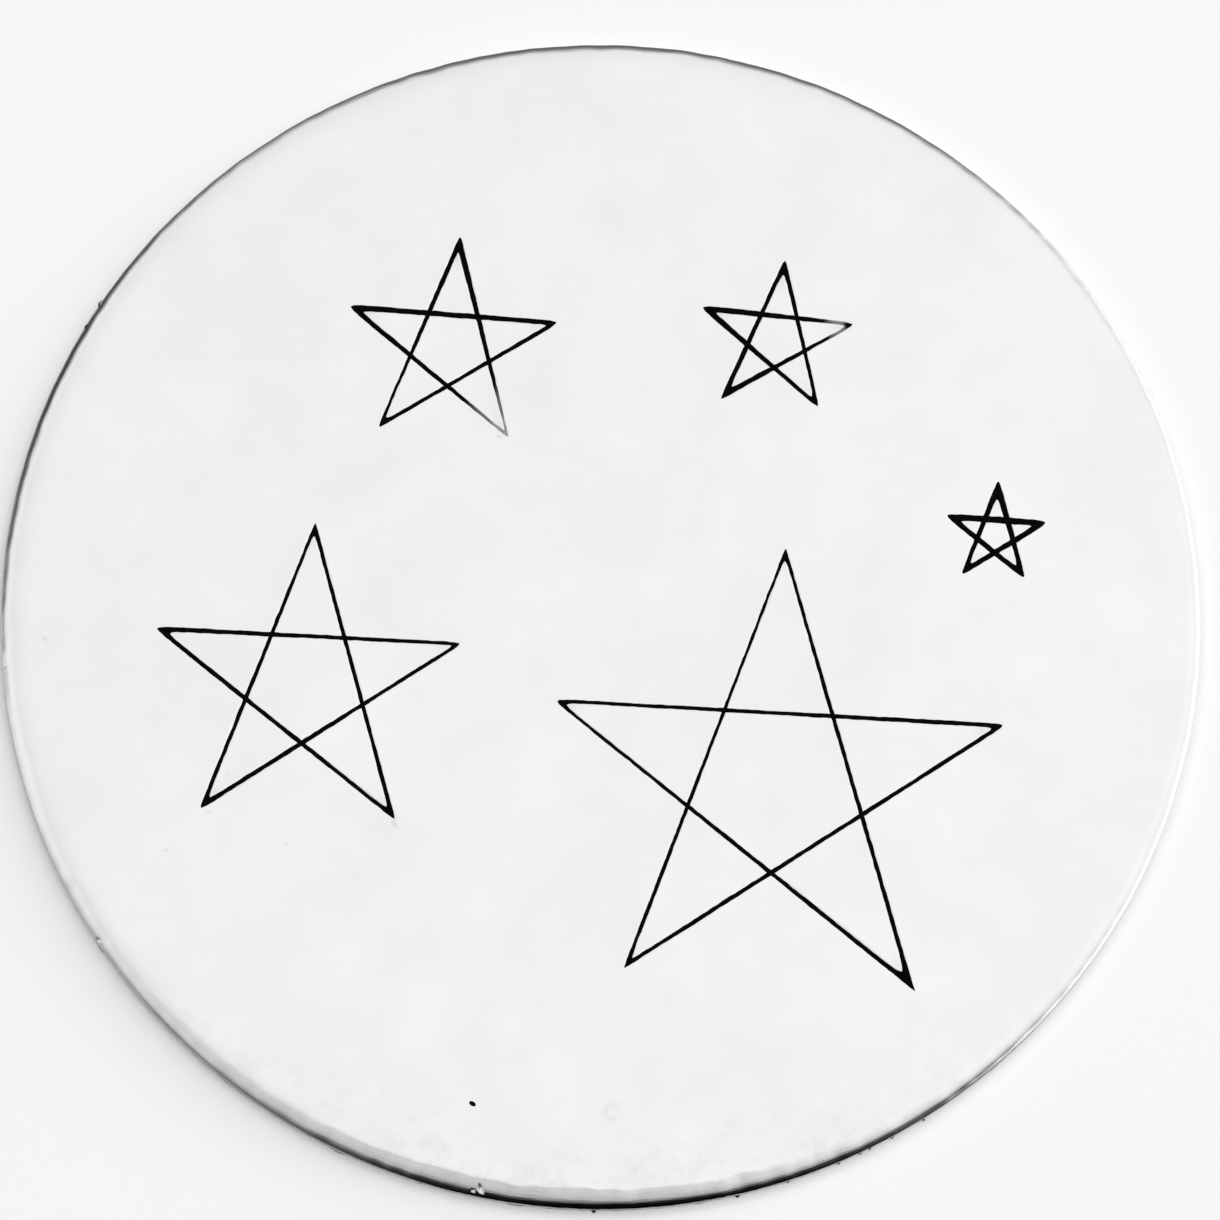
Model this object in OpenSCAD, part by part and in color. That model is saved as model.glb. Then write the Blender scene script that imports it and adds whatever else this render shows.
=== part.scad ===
// Stamp sample disc: a round blank punched from soft aluminium sheet, with the outlines of
// five-pointed stars struck into its top face by steel hand stamps, and black enamel rubbed
// into the struck lines.
// Millimetres. The origin is the centre of the underside, +Z is up, and +Y is the way that
// the largest star points.

/* [Disc] */
// Diameter of the blank
disc_d = 32; // [30:0.5:38]
// Thickness of the sheet
disc_t = 1; // [0.9:0.1:1.6]
// Radius of the top edge, which the punch draws over
roll_r = 0.5; // [0.3:0.05:0.5]
// Height of the torn band at the foot of the edge
tear_h = 0.35; // [0.2:0.05:0.35]
// How far the torn band leans in at its foot
tear_in = 0.03; // [0.02:0.01:0.1]

/* [Struck lines] */
// Angle between the two walls of a struck line
vee_angle = 70; // [60:5:90]
// How far the enamel lies below the face
enamel_drop = 0.008; // [0.004:0.002:0.014]

/* [Stamp sizes, between the two side tips] */
// Span of the largest star
largest_span = 11.8; // [10:0.1:12]
// Span of the large star
large_span = 8; // [7:0.1:8.5]
// Span of the middle star
middle_span = 5.5; // [5:0.1:6]
// Span of the small star
small_span = 4; // [3.5:0.1:4.5]
// Span of the smallest star
smallest_span = 2.5; // [2:0.1:3]

/* [Depth struck at the middle of each star] */
// Depth of the largest star
largest_depth = 0.062; // [0.05:0.001:0.1]
// Depth of the large star
large_depth = 0.067; // [0.05:0.001:0.1]
// Depth of the middle star
middle_depth = 0.073; // [0.065:0.001:0.1]
// Depth of the small star
small_depth = 0.09; // [0.07:0.001:0.11]
// Depth of the smallest star
smallest_depth = 0.1; // [0.07:0.001:0.12]

/* [Hidden] */

$fn = 48;
disc_r = disc_d / 2;

// Each star as [span, centre, turn, depth, heading, lean]. turn is anticlockwise from +Y. The
// stamp was held a little off upright: heading is the side that it leaned to, as an angle
// from +X, and lean is the extra depth that this gave at a tip on that side.
LARGEST = [largest_span, [4.85, -4.57], 0, largest_depth, -48, 0.015];
LARGE = [large_span, [-7.71, -2.56], 0.3, large_depth, 220, 0.009];
MIDDLE = [middle_span, [-4.43, 6.97], -1.3, middle_depth, 107, 0.038];
SMALL = [small_span, [4.34, 7.68], -3.1, small_depth, 178, 0.035];
SMALLEST = [smallest_span, [10.42, 2.56], -1, smallest_depth, 80, 0.022];
STARS = [LARGEST, LARGE, MIDDLE, SMALL, SMALLEST];

// The five stamps were cut from one drawing, which isn't quite regular. Its tips, clockwise from
// the top, as [angle from +X, reach from the middle as a share of a side tip's reach].
TIPS = [[90.2, 1.022], [17.8, 1], [-54, 1.015], [-126, 1.007], [162, 1]];

// How far the cutting shapes stand above the face
cut_over = 0.05;

// The stray drop of enamel lies in a pit of two circles that overlap, as [centre, radius]
PIT = [
    [[-2.66, -13.48], 0.055],
    [[-2.58, -13.52], 0.04]
];
pit_depth = 0.04;

// Knocks on the rolled edge, as [angle round the disc, radius of the ball that fits, depth]
KNOCKS = [[-98.5, 0.22, 0.05], [-99.6, 0.12, 0.03], [-142.6, 0.25, 0.06], [151, 0.2, 0.05]];

function unit(v) = v / norm(v);
function heading_of(a) = [cos(a), sin(a)];
function at_height(p, z) = [p.x, p.y, z];

// Where the line through a and b meets the line through c and d
function meet(a, b, c, d) =
    let (u = b - a, v = d - c, w = c - a)
    a + u * (w.x * v.y - w.y * v.x) / (u.x * v.y - u.y * v.x);

// How far a star's side tips reach from its middle
function reach(star) = star[0] / (2 * sin(72));

// Tip k of a star, on the middle of its struck line
function tip(star, k) =
    let (drawn = TIPS[(k + 5) % 5])
    star[1] + reach(star) * drawn[1] * heading_of(drawn[0] + star[2]);

// The struck depth at a point: the leaning stamp's foot is a tilted plane
function depth_at(star, p) =
    star[3] + star[5] * ((p - star[1]) * heading_of(star[4])) / reach(star);

// One edge of line k, which runs from tip k to tip k + 2, at a height above the face. side is
// 1 for the outer edge, which faces out of the star, and -1 for the inner one.
function line_edge(star, k, side, above) =
    let (
        a = tip(star, k),
        b = tip(star, k + 2),
        u = unit(b - a),
        out = side * tan(vee_angle / 2) * [-u.y, u.x]
    )
    [a + out * (depth_at(star, a) + above), b + out * (depth_at(star, b) + above)];

// Where one edge of line j meets one edge of line k
function edge_corner(star, j, j_side, k, k_side, above) =
    let (e = line_edge(star, j, j_side, above), f = line_edge(star, k, k_side, above))
    at_height(meet(e[0], e[1], f[0], f[1]), disc_t + above);

// A point on the floor of the struck vee
function floor_point(star, p) = at_height(p, disc_t - depth_at(star, p));

// The crossing of line k with line k - 1, between tips k and k + 1
function crossing(star, k) = meet(tip(star, k), tip(star, k + 2), tip(star, k - 1), tip(star, k + 1));

// The points that each fifth of a star has. Lines k and k - 2 meet at the tip, and lines k and
// k - 1 cross below it.
OUTER_TIP = 0;
INNER_TIP = 1;
TIP_FLOOR = 2;
CROSS_OUTER = 3; // outer edges of both lines
CROSS_INNER = 4; // inner edges of both lines
CROSS_LEFT = 5;  // inner edge of line k, outer edge of line k - 1
CROSS_RIGHT = 6; // outer edge of line k, inner edge of line k - 1
CROSS_FLOOR = 7;
FIFTH_POINTS = 8;

function fifth_points(star, k, above) = [
    edge_corner(star, k, 1, k - 2, 1, above),
    edge_corner(star, k, -1, k - 2, -1, above),
    floor_point(star, tip(star, k)),
    edge_corner(star, k, 1, k - 1, 1, above),
    edge_corner(star, k, -1, k - 1, -1, above),
    edge_corner(star, k, -1, k - 1, 1, above),
    edge_corner(star, k, 1, k - 1, -1, above),
    floor_point(star, crossing(star, k))
];

function id(k, which) = (k % 5) * FIFTH_POINTS + which;

// One stretch of a line: its top, outer wall and inner wall. Its top corners run clockwise, the
// first two on the outer edge, and its floor runs from the first corner's end to the other.
function stretch(c, floor_a, floor_b) = [
    c,
    [c[1], c[0], floor_a, floor_b],
    [c[3], c[2], floor_b, floor_a]
];

// Line k is three stretches, parted by its two crossings, and fifth k also has a crossing's top
function fifth_faces(k) = concat(
    stretch(
        [id(k, OUTER_TIP), id(k, CROSS_OUTER), id(k, CROSS_LEFT), id(k, INNER_TIP)],
        id(k, TIP_FLOOR), id(k, CROSS_FLOOR)
    ),
    stretch(
        [id(k, CROSS_RIGHT), id(k + 1, CROSS_LEFT), id(k + 1, CROSS_INNER), id(k, CROSS_INNER)],
        id(k, CROSS_FLOOR), id(k + 1, CROSS_FLOOR)
    ),
    stretch(
        [id(k + 1, CROSS_OUTER), id(k + 2, OUTER_TIP), id(k + 2, INNER_TIP), id(k + 1, CROSS_RIGHT)],
        id(k + 1, CROSS_FLOOR), id(k + 2, TIP_FLOOR)
    ),
    [[id(k, CROSS_OUTER), id(k, CROSS_RIGHT), id(k, CROSS_INNER), id(k, CROSS_LEFT)]]
);

// The five struck vees of a star as one solid, up to a height above the face
module struck_star(star, above) {
    points = [for (k = [0 : 4]) each fifth_points(star, k, above)];
    faces = [for (k = [0 : 4]) each fifth_faces(k)];
    polyhedron(points, faces);
}

module star_enamel(star) {
    color([0.04, 0.04, 0.045]) struck_star(star, -enamel_drop);
}

// The pit for the stray drop, filled up to a height above the face
module pit(above) {
    for (round = PIT)
        translate(at_height(round[0], disc_t - pit_depth))
            cylinder(h = pit_depth + above, r = round[1]);
}

module stray_enamel() {
    color([0.04, 0.04, 0.045]) pit(-enamel_drop);
}

// Half the section of the blank: torn foot, straight cut band, rolled top edge
module edge_profile() {
    roll_at = [disc_r - roll_r, disc_t - roll_r];
    polygon([
        [0, 0],
        [disc_r - tear_in, 0],
        [disc_r, tear_h],
        [disc_r, roll_at.y],
        roll_at,
        [roll_at.x, disc_t],
        [0, disc_t]
    ]);
    intersection() {
        translate(roll_at) circle(roll_r);
        translate(roll_at) square(roll_r);
    }
}

module knocks() {
    for (knock = KNOCKS)
        rotate([0, 0, knock[0]])
            translate([disc_r - roll_r, 0, disc_t - roll_r])
                rotate([0, -45, 0])
                    translate([roll_r + knock[1] - knock[2], 0, 0]) sphere(knock[1]);
}

module blank_disc() {
    color([0.86, 0.86, 0.87])
        difference() {
            rotate_extrude() edge_profile();
            for (star = STARS) struck_star(star, cut_over);
            pit(cut_over);
            knocks();
        }
}

blank_disc();
star_enamel(LARGEST);  // largest_star_enamel
star_enamel(LARGE);  // large_star_enamel
star_enamel(MIDDLE);  // middle_star_enamel
star_enamel(SMALL);  // small_star_enamel
star_enamel(SMALLEST);  // smallest_star_enamel
stray_enamel();
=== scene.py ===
"""The looks of a stamp sample disc: a punched aluminium blank with five struck, blackened stars.

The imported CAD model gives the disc's size, and each star's place, size and depth. The shapes are
worked out in millimetres, in the CAD's own frame, and become metres when a mesh is made.
"""

import math

import bmesh
import bpy
import numpy as np
from mathutils import Matrix, Vector, noise
from mathutils.geometry import delaunay_2d_cdt


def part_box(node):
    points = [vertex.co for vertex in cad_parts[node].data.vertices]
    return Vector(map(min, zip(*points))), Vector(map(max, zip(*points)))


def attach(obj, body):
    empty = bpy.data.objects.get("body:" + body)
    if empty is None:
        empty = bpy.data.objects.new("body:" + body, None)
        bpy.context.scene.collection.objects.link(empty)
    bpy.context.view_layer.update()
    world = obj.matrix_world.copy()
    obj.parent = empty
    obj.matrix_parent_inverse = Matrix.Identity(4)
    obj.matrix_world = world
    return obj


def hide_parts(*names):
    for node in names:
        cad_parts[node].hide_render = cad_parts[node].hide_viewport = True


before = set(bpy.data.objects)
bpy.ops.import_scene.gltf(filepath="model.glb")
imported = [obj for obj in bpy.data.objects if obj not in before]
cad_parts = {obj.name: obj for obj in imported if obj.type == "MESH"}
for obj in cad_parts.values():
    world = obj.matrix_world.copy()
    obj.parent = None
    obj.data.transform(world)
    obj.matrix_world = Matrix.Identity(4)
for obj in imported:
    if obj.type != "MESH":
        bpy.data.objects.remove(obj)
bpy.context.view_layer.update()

MM = 0.001

# ---------------------------------------------------------------------------------------------
# Measures, in millimetres
# ---------------------------------------------------------------------------------------------

DISC_LOW, DISC_HIGH = (np.array(corner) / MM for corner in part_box("blank_disc"))
DISC_R = (DISC_HIGH[0] - DISC_LOW[0]) / 2
FACE_Z = DISC_HIGH[2]

FACE_EDGE_R = DISC_R - 0.85  # where the flat face's mesh meets the edge's rows of points
WAVES_END_R = DISC_R - 0.5   # the sheet's waves have died out here
# The top edge, which the punch drew over unevenly, as (angle round the disc in degrees, width of
# the roll, the share of its drop that is a plain bevel, how much the face droops before it). The
# droop is the drop for each square millimetre of the way out from DROOP_R.
EDGE = (
    (0, 0.36, 0.0, 0.0),
    (35, 0.37, 0.0, 0.06),
    (60, 0.36, 0.0, 0.24),
    (120, 0.37, 0.0, 0.26),
    (150, 0.39, 0.0, 0.2),
    (215, 0.41, 0.0, 0.2),
    (235, 0.38, 0.05, 0.18),
    (246, 0.4, 0.2, 0.12),
    (258, 0.43, 0.32, 0.08),
    (268, 0.43, 0.34, 0.05),
    (285, 0.42, 0.34, 0.02),
    (300, 0.42, 0.12, 0.0),
    (315, 0.38, 0.0, 0.0),
)
DROOP_R = DISC_R - 0.8
# Where the roll has rows of points, as shares of its width
ROLL_ROWS = (0.05, 0.11, 0.18, 0.26, 0.35, 0.45, 0.55, 0.64, 0.72, 0.79, 0.85, 0.9, 0.94, 0.97, 0.99, 1.0)
CUT_IN = 0.003           # the cut band inside the disc's full radius
TEAR_H, TEAR_IN = 0.35, 0.03  # the torn band at the foot, and how far it leans in
TORN_IN, DARKENED_IN = 0.2, 0.12  # how far in from the rim the metal may look torn, or be darkened (black burrs, and painted contact shade along the foot)
RIM_STEPS = 1440         # even steps round the edge
RIM_FINE = 5             # steps that one of them is cut into at a knock or a burr

VEE_SLOPE = math.tan(math.radians(35))  # half of a struck line's width for each unit of its depth
ROW_STEP, ROW_GROWTH, END_STEP = 0.07, 0.12, 0.022  # between the rows of points along a struck line
WALL_LEVELS = (0, 0.06, 0.2, 0.5, 1)    # shares of the way down a struck line's wall
WOBBLE = 0.006           # how far a struck edge strays from straight
FLOOR_BACK = 0.03        # how far short of a tip its floor ends
CROSS_FLARE = 0.006      # how far the corners at a crossing were pushed apart
CORNER_REACH = 0.065     # how far along an edge the last two are felt
BLUNTNESS = 1.15         # the reach of a push at a tip, as a multiple of the push
LIP_H = 0.006            # height of the metal raised beside a struck line
LIP_PEAK = 0.045         # how far out from the edge it is highest
LIP_BESIDE = (0.015, 0.04, 0.08, 0.14, 0.25)  # where the face has rows of points beside a line

ENAMEL_DROP = 0.008      # the enamel's edge below the face
ENAMEL_SAG = 0.006       # and its middle below its edge
ENAMEL_COLUMNS = 4

# How far past its floor each tip was struck, clockwise from the top
TIP_PAST = {
    "largest_star_enamel": (0.075, 0.02, 0.2, 0.11, -0.03),
    "large_star_enamel": (0.105, 0.01, 0.1, 0.08, 0.015),
    "middle_star_enamel": (0.155, 0.03, 0.03, 0.03, 0.035),
    "small_star_enamel": (0.09, -0.02, 0.04, 0.15, 0.08),
    "smallest_star_enamel": (0.13, 0.065, 0.05, 0.08, 0.065),
}
# How far back the sharp web inside each tip was crushed
WEB_BACK = {
    "largest_star_enamel": (0.132, 0.093, 0.228, 0.074, 0.154),
    "large_star_enamel": (0.097, 0.053, 0.139, 0.106, 0.159),
    "middle_star_enamel": (0.042, 0.05, 0.116, 0.144, 0.098),
    "small_star_enamel": (0.148, 0.109, 0.135, 0.073, 0.042),
    "smallest_star_enamel": (0.115, 0.058, 0.124, 0.094, 0.081),
}
# How far the edges of each line stand beyond its plain vee. Line k runs from tip k to tip k + 2.
SPREAD = {
    "largest_star_enamel": (0.011, 0.01, 0.009, 0.006, 0.015),
    "large_star_enamel": (0.011, 0.012, 0.008, 0.003, 0.011),
    "middle_star_enamel": (0.01, 0.012, 0.013, -0.001, 0.017),
    "small_star_enamel": (0.001, 0.004, 0.002, -0.006, 0.009),
    "smallest_star_enamel": (0.004, 0.008, 0.007, -0.004, 0.016),
}
# Tips that a second tap of the hammer lengthened, as {node: {tip: length}}
TIP_DRAWN = {"largest_star_enamel": {2: 0.11}}


def node_points(node):
    """A CAD node's points, in millimetres."""
    return np.array([v.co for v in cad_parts[node].data.vertices]) / MM


def along_noise(s, seed, step):
    """Smooth noise, about -1 to 1, at distances s along a line; step is the size of its waves."""
    return np.array([2 * noise.noise(Vector((float(x) / step, seed * 7.31, 0.5))) for x in s])


def ring_points(radius, count, turn=0.0):
    angle = 2 * math.pi * (np.arange(count) + turn) / count
    return np.column_stack([np.cos(angle), np.sin(angle)]) * radius


# ---------------------------------------------------------------------------------------------
# Struck stars
# ---------------------------------------------------------------------------------------------


def meet(a, b, c, d):
    """Where the line through a and b meets the line through c and d."""
    u, v, w = b - a, d - c, c - a
    return a + u * (w[0] * v[1] - w[1] * v[0]) / (u[0] * v[1] - u[1] * v[0])


class Star:
    """One struck star, read from its CAD node. Tips run clockwise from the top. Line k goes from
    tip k to tip k + 2, and crosses line k - 1 below tip k, at crossing k."""

    def __init__(self, node):
        self.node = node
        points = node_points(node)
        floor = np.unique(points[points[:, 2] < points[:, 2].max() - 0.02].round(4), axis=0)
        self.centre = floor[:, :2].mean(0)
        away = floor[:, :2] - self.centre
        tips = away[np.hypot(*away.T) > 0.9 * np.hypot(*away.T).max()]
        clockwise = np.degrees(np.arctan2(tips[:, 0], tips[:, 1])) % 360
        order = np.argsort((clockwise + 36) % 360)  # half a fifth of a turn, so the top is first
        self.tips = self.centre + tips[order]
        for k, length in TIP_DRAWN.get(node, {}).items():
            out = self.tips[k] - self.centre
            self.tips[k] += out / np.linalg.norm(out) * length
        plane = np.column_stack([np.ones(len(floor)), away])
        self.depth_plane = np.linalg.lstsq(plane, FACE_Z - floor[:, 2], rcond=None)[0]
        self.corners = [self.fifth(k) for k in range(5)]
        self.stretches = [s for k in range(5) for s in self.line_stretches(k)]

    def depth(self, p):
        """Struck depth at points p."""
        away = np.asarray(p)[..., :2] - self.centre
        return self.depth_plane[0] + away @ self.depth_plane[1:]

    def tip(self, k):
        return self.tips[k % 5]

    def edge(self, k, side):
        """Two points on line k's outer (side 1) or inner (side -1) edge, level with the face."""
        a, b = self.tip(k), self.tip(k + 2)
        u = (b - a) / np.linalg.norm(b - a)
        out = side * np.array([-u[1], u[0]])
        spread = SPREAD[self.node][k % 5]
        return tuple(p + out * (VEE_SLOPE * self.depth(p) + spread) for p in (a, b))

    def edges_meet(self, j, j_side, k, k_side):
        return meet(*self.edge(j, j_side), *self.edge(k, k_side))

    def fifth(self, k):
        """Tip k and crossing k: each corner as its sharp place, how far it was pushed, and how
        far along its edges that is felt."""
        tip = self.tip(k)
        cross = meet(tip, self.tip(k + 2), self.tip(k - 1), self.tip(k + 1))
        inwards = (self.centre - tip) / np.linalg.norm(self.centre - tip)
        sharp = self.edges_meet(k, 1, k - 2, 1)
        blunt = np.linalg.norm(sharp - tip) - TIP_PAST[self.node][k]
        back = WEB_BACK[self.node][k]
        found = {
            "tip": (sharp, inwards * blunt, BLUNTNESS * abs(blunt)),
            "web": (self.edges_meet(k, -1, k - 2, -1), inwards * back, BLUNTNESS * back),
            "tip_floor": (tip, inwards * FLOOR_BACK, CORNER_REACH),
            "cross_floor": (cross, np.zeros(2), CORNER_REACH),
        }
        sides = {"outer": (1, 1), "inner": (-1, -1), "left": (-1, 1), "right": (1, -1)}
        for name, (side, other) in sides.items():
            corner = self.edges_meet(k, side, k - 1, other)
            push = (corner - cross) / np.linalg.norm(corner - cross) * CROSS_FLARE
            found[name] = (corner, push, CORNER_REACH)
        return found

    def corner(self, k, name):
        return self.corners[k % 5][name]

    def line_stretches(self, k):
        """Line k's three stretches between its tips and crossings, each as arrays of points
        along its outer edge, its inner edge and its floor."""
        ends = (
            ((k, "tip"), (k, "outer"), (k, "web"), (k, "left"), (k, "tip_floor"), (k, "cross_floor")),
            ((k, "right"), (k + 1, "left"), (k, "inner"), (k + 1, "inner"),
             (k, "cross_floor"), (k + 1, "cross_floor")),
            ((k + 1, "outer"), (k + 2, "tip"), (k + 1, "right"), (k + 2, "web"),
             (k + 1, "cross_floor"), (k + 2, "tip_floor")),
        )
        made = []
        for part, names in enumerate(ends):
            at = [self.corner(*name) for name in names]
            shares = row_shares(np.linalg.norm(at[5][0] - at[4][0]))
            seed = sum(map(ord, self.node)) + 10 * k + part
            outer = struck_edge(at[0], at[1], shares, WOBBLE, seed)
            inner = struck_edge(at[2], at[3], shares, WOBBLE, seed + 0.37)
            made.append((outer, inner, struck_edge(at[4], at[5], shares, 0, seed)))
        return made


def row_shares(length):
    """Where the rows of points along a stretch lie, as shares of its length: they are closest
    together at its ends."""
    half = [0.0]
    while half[-1] < length / 2:
        half.append(half[-1] + min(ROW_STEP, END_STEP + ROW_GROWTH * half[-1]))
    half = np.array(half) / (2 * half[-1])
    return np.concatenate([half, 1 - half[-2::-1]])


def struck_edge(start, end, shares, wobble, seed):
    """Points from one corner to another. Each corner is (sharp place, push, reach)."""
    (a, a_push, a_reach), (b, b_push, b_reach) = start, end
    length = np.linalg.norm(b - a)
    share = shares[:, None]
    s = share * length
    u = (b - a) / length
    fade = np.clip(np.minimum(s, length - s) / CORNER_REACH, 0, 1)
    stray = along_noise(s[:, 0], seed, 0.16) + 0.6 * along_noise(s[:, 0], seed + 50, 0.5)
    points = a + (b - a) * share + np.array([-u[1], u[0]]) * stray[:, None] * fade * wobble
    points = points + a_push * np.exp(-s / a_reach) + b_push * np.exp(-(length - s) / b_reach)
    points[0], points[-1] = a + a_push, b + b_push
    return points


STARS = [Star(name) for name in sorted(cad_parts) if name.endswith("_star_enamel")]


def outline_segments():
    """Every struck edge as straight segments, short ones at its ends, (starts, ends)."""
    bends = [0, 2, 4, 7, 11, -12, -8, -5, -3, -1]
    struck = [edge for star in STARS for stretch in star.stretches for edge in stretch[:2]]
    lines = [edge[bends] if len(edge) > 24 else edge[::2] for edge in struck]
    return np.concatenate([e[:-1] for e in lines]), np.concatenate([e[1:] for e in lines])


SEGMENT_A, SEGMENT_B = outline_segments()


def distance_to_lines(p):
    """Distance from each point to the nearest struck edge."""
    run = SEGMENT_B - SEGMENT_A
    best = np.full(len(p), np.inf)
    for a, d in zip(SEGMENT_A, run):
        share = np.clip((p - a) @ d / (d @ d), 0, 1)
        best = np.minimum(best, np.hypot(*(p - a - share[:, None] * d).T))
    return best


# ---------------------------------------------------------------------------------------------
# Relief of the face
# ---------------------------------------------------------------------------------------------

# Small dents as (x, y, radius, depth). The first is a ring that a ball left in tumbling.
DENTS = (
    (1.02, -13.53, 0.24, 0.006),
    (-11.15, -7.83, 0.06, 0.005),
    (-9.74, -9.22, 0.05, 0.004),
    (7.9, 3.4, 0.05, 0.003),
)


# Smudges of enamel as (x, y, half length, half width, heading in degrees, strength)
SMUDGES = (
    (-5.12, -6.2, 0.13, 0.05, -52, 0.55),
    (-10.02, -6.16, 0.12, 0.06, 30, 0.35),
    (-2.98, 4.53, 0.07, 0.035, 5, 0.8),
    (-11.05, -7.25, 0.07, 0.04, -30, 0.45),
    (-7.9, -6.9, 0.08, 0.035, -60, 0.35),
    (-14.68, -1.74, 0.1, 0.045, -35, 0.5),
    (-9.59, -5.1, 0.1, 0.06, 20, 0.2),
)


class Pit:
    """The pit under the stray drop of enamel: an oval, read from the drop's CAD node."""

    def __init__(self, node):
        points = node_points(node)
        self.depth = FACE_Z - points[:, 2].min()
        flat = np.unique(points[:, :2].round(4), axis=0)
        self.centre = (flat.max(0) + flat.min(0)) / 2
        axes = np.linalg.svd(flat - self.centre)[2]
        self.half = np.abs((flat - self.centre) @ axes.T).max(0)[:, None]
        self.axes = axes

    def share(self, p):
        """How far points are from the middle, as a share of the oval's reach on that side."""
        return np.hypot(*((p - self.centre) @ self.axes.T / self.half.T).T)

    def ring(self, share, steps):
        """An oval ring of points at a share of its reach, or of several shares."""
        return ring_points(1, steps) * np.reshape(share, (-1, 1)) * self.half.T @ self.axes + self.centre


PIT = Pit("stray_enamel")


def waves(count, longest, shortest, seed):
    """Random plane waves as (wave vectors, phases, amplitudes that sum to about 1)."""
    random = np.random.RandomState(seed)
    length = np.geomspace(longest, shortest, count)
    heading = random.uniform(0, 2 * math.pi, count)
    vectors = np.column_stack([np.cos(heading), np.sin(heading)]) * (2 * math.pi / length)[:, None]
    return vectors, random.uniform(0, 2 * math.pi, count), length / length.sum()


SHEET_WAVES = waves(14, 18.0, 2.2, 5)
SHEET_WAVE_H = 0.01


def sheet_waves(p):
    vectors, phases, sizes = SHEET_WAVES
    return SHEET_WAVE_H * np.sin(p @ vectors.T + phases) @ sizes


def relief(p):
    """Height of the face above its CAD level at points p."""
    p = np.asarray(p, float)
    away = distance_to_lines(p)
    far = (away + 0.012) / (LIP_PEAK + 0.012)
    height = LIP_H * far * np.exp(1 - far)
    edge = np.clip((WAVES_END_R - np.hypot(*p.T)) / 1.5, 0, 1)
    height = height + (sheet_waves(p) - SHEET_WAVE_H) * edge
    for x, y, radius, depth in DENTS:
        share = np.hypot(p[:, 0] - x, p[:, 1] - y) / radius
        height = height - depth * np.exp(-(share**2)) + 0.35 * depth * np.exp(-((share - 1.4) ** 2) * 6)
    share = PIT.share(p)
    height = height - PIT.depth * np.clip(1 - share**4, 0, 1)
    return height + 0.004 * np.exp(-((share - 1.25) ** 2) * 30)


def on_face(p):
    """Points p with the face's height as z."""
    return np.column_stack([p, FACE_Z + relief(p)])


# ---------------------------------------------------------------------------------------------
# Meshes
# ---------------------------------------------------------------------------------------------


class Shell:
    """A mesh put together from patches, whose shared points become one."""

    def __init__(self):
        self.points, self.faces, self.count = [], [], 0

    def add(self, points, faces):
        self.points.append(np.asarray(points, float))
        self.faces.extend([[i + self.count for i in face] for face in faces])
        self.count += len(points)

    def grid(self, rows, closed=False):
        """A patch of four-sided faces. rows is (rows, columns, 3); closed joins each row's ends."""
        rows = np.asarray(rows, float)
        high, wide = rows.shape[:2]
        steps = wide if closed else wide - 1
        faces = [
            (i * wide + j, i * wide + (j + 1) % wide, (i + 1) * wide + (j + 1) % wide, (i + 1) * wide + j)
            for i in range(high - 1)
            for j in range(steps)
        ]
        self.add(rows.reshape(-1, 3), faces)

    def build(self, name, material):
        points = np.concatenate(self.points)
        _, first, same = np.unique(points.round(6), axis=0, return_index=True, return_inverse=True)
        same = same.ravel()
        faces = []
        for face in self.faces:
            ring = [int(same[i]) for i in face]
            ring = [v for i, v in enumerate(ring) if v != ring[i - 1]]
            if len(ring) > 2:
                faces.append(ring)
        mesh = bpy.data.meshes.new(name)
        mesh.from_pydata((points[first] * MM).tolist(), [], faces)
        mesh.materials.append(material)
        work = bmesh.new()
        work.from_mesh(mesh)
        bmesh.ops.recalc_face_normals(work, faces=work.faces)
        work.to_mesh(mesh)
        work.free()
        mesh.shade_smooth()
        piece = bpy.data.objects.new(name, mesh)
        bpy.context.scene.collection.objects.link(piece)
        return piece


def set_attribute(piece, name, values):
    attribute = piece.data.attributes.new(name, "FLOAT", "POINT")
    attribute.data.foreach_set("value", np.asarray(values, np.float32))


def mesh_points(piece):
    """The piece's points, in millimetres."""
    points = np.empty(len(piece.data.vertices) * 3, np.float32)
    piece.data.vertices.foreach_get("co", points)
    return points.reshape(-1, 3).astype(float) / MM


def triangulate(points, edges):
    """Triangles over 2D points that keep edges, and the patch that each triangle is in: patches
    are parted by the edges."""
    made = delaunay_2d_cdt([Vector(p) for p in points], edges, [], 0, 1e-7, True)
    flat, lines, triangles, _, edge_from, _ = made
    walls = {frozenset(line) for line, source in zip(lines, edge_from) if source}
    beside = {}
    for i, triangle in enumerate(triangles):
        for a, b in zip(triangle, triangle[1:] + triangle[:1]):
            beside.setdefault(frozenset((a, b)), []).append(i)
    joined = [[] for _ in triangles]
    for line, pair in beside.items():
        if len(pair) == 2 and line not in walls:
            joined[pair[0]].append(pair[1])
            joined[pair[1]].append(pair[0])
    patch = np.full(len(triangles), -1)
    for start in range(len(triangles)):
        if patch[start] >= 0:
            continue
        patch[start], waiting = start, [start]
        while waiting:
            for other in joined[waiting.pop()]:
                if patch[other] < 0:
                    patch[other] = start
                    waiting.append(other)
    return np.array([tuple(p) for p in flat]), np.array(triangles), patch


def triangle_at(points, triangles, spot):
    """Index of the triangle that holds spot."""
    a, b, c = (points[triangles[:, i]] for i in range(3))

    def side(p, q):
        return (q[:, 0] - p[:, 0]) * (spot[1] - p[:, 1]) - (q[:, 1] - p[:, 1]) * (spot[0] - p[:, 0])

    sides = np.array([side(a, b), side(b, c), side(c, a)])
    holds = (sides >= 0).all(0) | (sides <= 0).all(0)
    return int(np.flatnonzero(holds)[0])


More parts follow.
